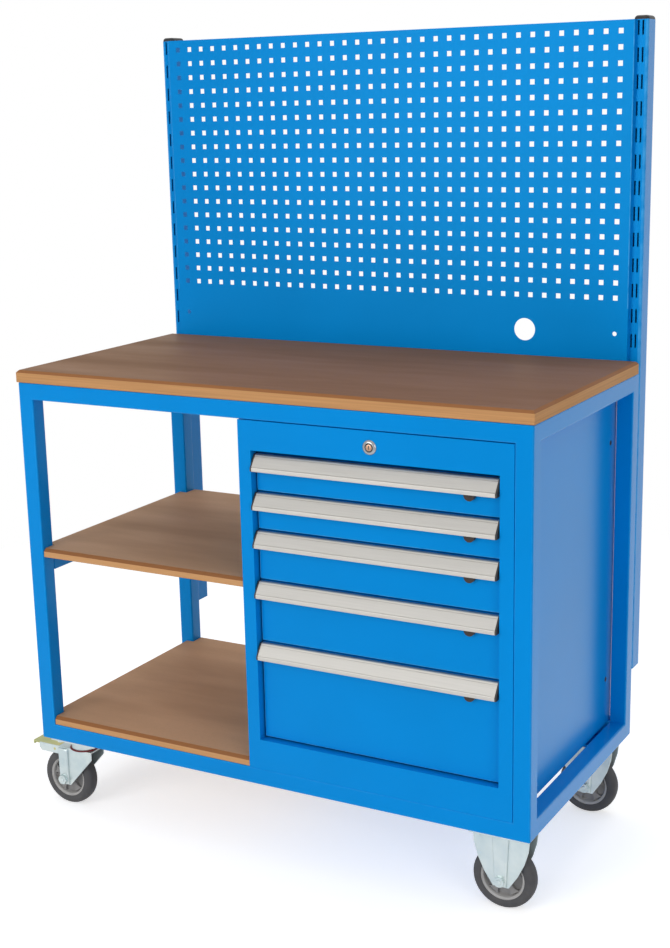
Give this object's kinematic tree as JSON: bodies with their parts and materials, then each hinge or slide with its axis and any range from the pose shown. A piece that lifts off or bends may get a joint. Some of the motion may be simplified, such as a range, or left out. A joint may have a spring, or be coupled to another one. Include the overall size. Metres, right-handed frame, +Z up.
{
  "type": "mobile workbench",
  "caption": "Mobile workbench on casters: tube frame, brown worktop, open shelves, lockable drawer cabinet and a perforated tool panel on slotted uprights.",
  "frame": {"origin": "on the floor under the middle of the bench frame", "axes": "+X to the right along the bench, +Y to the back, +Z up"},
  "size_m": [1.181, 0.624, 1.627],
  "materials": {
    "blue_paint": "satin blue powder coat",
    "brown_board": "smooth brown hardboard faces, tan edges",
    "handle_aluminium": "satin anodised",
    "zinc_steel": "bright zinc plate",
    "yellow_zinc": "yellow zinc plate",
    "chrome_plate": "polished",
    "black_plastic": "matt black",
    "grey_plastic": "matt grey",
    "tyre_rubber": "dark grey rubber"
  },
  "bodies": {
    "bench": {"corner_legs": "blue_paint", "frame_rails": "blue_paint", "caster_pads": "blue_paint", "worktop": "brown_board", "middle_shelf": "brown_board", "lower_shelf": "brown_board", "shelf_rails": "blue_paint", "upright_left": "blue_paint", "upright_right": "blue_paint", "upright_caps": "black_plastic", "perforated_panel": "blue_paint", "cable_panel": "blue_paint", "frame_bolts": "zinc_steel", "cabinet_shell": "blue_paint", "cabinet_top_and_floor": "blue_paint", "cabinet_front_frame": "blue_paint", "cabinet_rails": "zinc_steel", "lock_barrel": "chrome_plate", "lock_guides": "zinc_steel", "fixed_forks": "zinc_steel", "swivel_plates": "zinc_steel"},
    "drawer_1": {"drawer_1": "blue_paint", "handle_1": "handle_aluminium", "handle_caps_1": "black_plastic"},
    "slide_1": {"slide_middles_1": "zinc_steel"},
    "latch_1": {"latch_1": "black_plastic"},
    "drawer_2": {"drawer_2": "blue_paint", "handle_2": "handle_aluminium", "handle_caps_2": "black_plastic"},
    "slide_2": {"slide_middles_2": "zinc_steel"},
    "latch_2": {"latch_2": "black_plastic"},
    "drawer_3": {"drawer_3": "blue_paint", "handle_3": "handle_aluminium", "handle_caps_3": "black_plastic"},
    "slide_3": {"slide_middles_3": "zinc_steel"},
    "latch_3": {"latch_3": "black_plastic"},
    "drawer_4": {"drawer_4": "blue_paint", "handle_4": "handle_aluminium", "handle_caps_4": "black_plastic"},
    "slide_4": {"slide_middles_4": "zinc_steel"},
    "latch_4": {"latch_4": "black_plastic"},
    "drawer_5": {"drawer_5": "blue_paint", "handle_5": "handle_aluminium", "handle_caps_5": "black_plastic"},
    "slide_5": {"slide_middles_5": "zinc_steel"},
    "latch_5": {"latch_5": "black_plastic"},
    "lock_plug": {"lock_plug": "chrome_plate"},
    "lock_bar": {"lock_bar": "zinc_steel"},
    "wheel_right_front": {"tyre_right_front": "tyre_rubber", "wheel_rim_right_front": "grey_plastic"},
    "swivel_front": {"swivel_fork_front": "zinc_steel"},
    "wheel_left_front": {"tyre_left_front": "tyre_rubber", "wheel_rim_left_front": "grey_plastic"},
    "brake_front": {"brake_pedal_front": "yellow_zinc"},
    "wheel_right_rear": {"tyre_right_rear": "tyre_rubber", "wheel_rim_right_rear": "grey_plastic"},
    "swivel_rear": {"swivel_fork_rear": "zinc_steel"},
    "wheel_left_rear": {"tyre_left_rear": "tyre_rubber", "wheel_rim_left_rear": "grey_plastic"},
    "brake_rear": {"brake_pedal_rear": "yellow_zinc"}
  },
  "joints": [
    {"name": "drawer_1_slide", "type": "slide", "parent": "bench", "child": "drawer_1", "axis": [0, -1, 0], "range_m": [0, 0.45]},
    {"name": "slide_1_travel", "type": "slide", "parent": "bench", "child": "slide_1", "axis": [0, -1, 0], "range_m": [0, 0.225]},
    {"name": "latch_1_press", "type": "slide", "parent": "drawer_1", "child": "latch_1", "axis": [0, 0, 1], "range_m": [0, 0.004], "stiffness_N_per_m": 200, "springref_m": -0.002},
    {"name": "drawer_2_slide", "type": "slide", "parent": "bench", "child": "drawer_2", "axis": [0, -1, 0], "range_m": [0, 0.45]},
    {"name": "slide_2_travel", "type": "slide", "parent": "bench", "child": "slide_2", "axis": [0, -1, 0], "range_m": [0, 0.225]},
    {"name": "latch_2_press", "type": "slide", "parent": "drawer_2", "child": "latch_2", "axis": [0, 0, 1], "range_m": [0, 0.004], "stiffness_N_per_m": 200, "springref_m": -0.002},
    {"name": "drawer_3_slide", "type": "slide", "parent": "bench", "child": "drawer_3", "axis": [0, -1, 0], "range_m": [0, 0.45]},
    {"name": "slide_3_travel", "type": "slide", "parent": "bench", "child": "slide_3", "axis": [0, -1, 0], "range_m": [0, 0.225]},
    {"name": "latch_3_press", "type": "slide", "parent": "drawer_3", "child": "latch_3", "axis": [0, 0, 1], "range_m": [0, 0.004], "stiffness_N_per_m": 200, "springref_m": -0.002},
    {"name": "drawer_4_slide", "type": "slide", "parent": "bench", "child": "drawer_4", "axis": [0, -1, 0], "range_m": [0, 0.45]},
    {"name": "slide_4_travel", "type": "slide", "parent": "bench", "child": "slide_4", "axis": [0, -1, 0], "range_m": [0, 0.225]},
    {"name": "latch_4_press", "type": "slide", "parent": "drawer_4", "child": "latch_4", "axis": [0, 0, 1], "range_m": [0, 0.004], "stiffness_N_per_m": 200, "springref_m": -0.002},
    {"name": "drawer_5_slide", "type": "slide", "parent": "bench", "child": "drawer_5", "axis": [0, -1, 0], "range_m": [0, 0.45]},
    {"name": "slide_5_travel", "type": "slide", "parent": "bench", "child": "slide_5", "axis": [0, -1, 0], "range_m": [0, 0.225]},
    {"name": "latch_5_press", "type": "slide", "parent": "drawer_5", "child": "latch_5", "axis": [0, 0, 1], "range_m": [0, 0.004], "stiffness_N_per_m": 200, "springref_m": -0.002},
    {"name": "lock_turn", "type": "hinge", "parent": "bench", "child": "lock_plug", "pos_m": [0.245, -0.2825, 0.8725], "axis": [0, -1, 0], "range_deg": [0, 90]},
    {"name": "lock_bar_lift", "type": "slide", "parent": "bench", "child": "lock_bar", "axis": [0, 0, 1], "range_m": [0, 0.017]},
    {"name": "wheel_right_front_spin", "type": "hinge", "parent": "bench", "child": "wheel_right_front", "pos_m": [0.49, -0.228, 0.0625], "axis": [0, 1, 0], "continuous": true},
    {"name": "swivel_front_turn", "type": "hinge", "parent": "bench", "child": "swivel_front", "pos_m": [-0.49, -0.228, 0.15], "axis": [0, 0, 1], "continuous": true},
    {"name": "wheel_left_front_spin", "type": "hinge", "parent": "swivel_front", "child": "wheel_left_front", "pos_m": [-0.532, -0.228, 0.0625], "axis": [0, 1, 0], "continuous": true},
    {"name": "brake_front_press", "type": "hinge", "parent": "swivel_front", "child": "brake_front", "pos_m": [-0.556, -0.228, 0.1267], "axis": [0, -1, 0], "range_deg": [0, 18]},
    {"name": "wheel_right_rear_spin", "type": "hinge", "parent": "bench", "child": "wheel_right_rear", "pos_m": [0.49, 0.228, 0.0625], "axis": [0, 1, 0], "continuous": true},
    {"name": "swivel_rear_turn", "type": "hinge", "parent": "bench", "child": "swivel_rear", "pos_m": [-0.49, 0.228, 0.15], "axis": [0, 0, 1], "continuous": true},
    {"name": "wheel_left_rear_spin", "type": "hinge", "parent": "swivel_rear", "child": "wheel_left_rear", "pos_m": [-0.532, 0.228, 0.0625], "axis": [0, 1, 0], "continuous": true},
    {"name": "brake_rear_press", "type": "hinge", "parent": "swivel_rear", "child": "brake_rear", "pos_m": [-0.556, 0.228, 0.1267], "axis": [0, -1, 0], "range_deg": [0, 18]}
  ],
  "couplings": [
    {"joint": "slide_1_travel", "follows": "drawer_1_slide", "ratio": 0.5},
    {"joint": "slide_2_travel", "follows": "drawer_2_slide", "ratio": 0.5},
    {"joint": "slide_3_travel", "follows": "drawer_3_slide", "ratio": 0.5},
    {"joint": "slide_4_travel", "follows": "drawer_4_slide", "ratio": 0.5},
    {"joint": "slide_5_travel", "follows": "drawer_5_slide", "ratio": 0.5},
    {"joint": "lock_turn", "follows": "lock_bar_lift", "rad_per_m": 92.4}
  ]
}
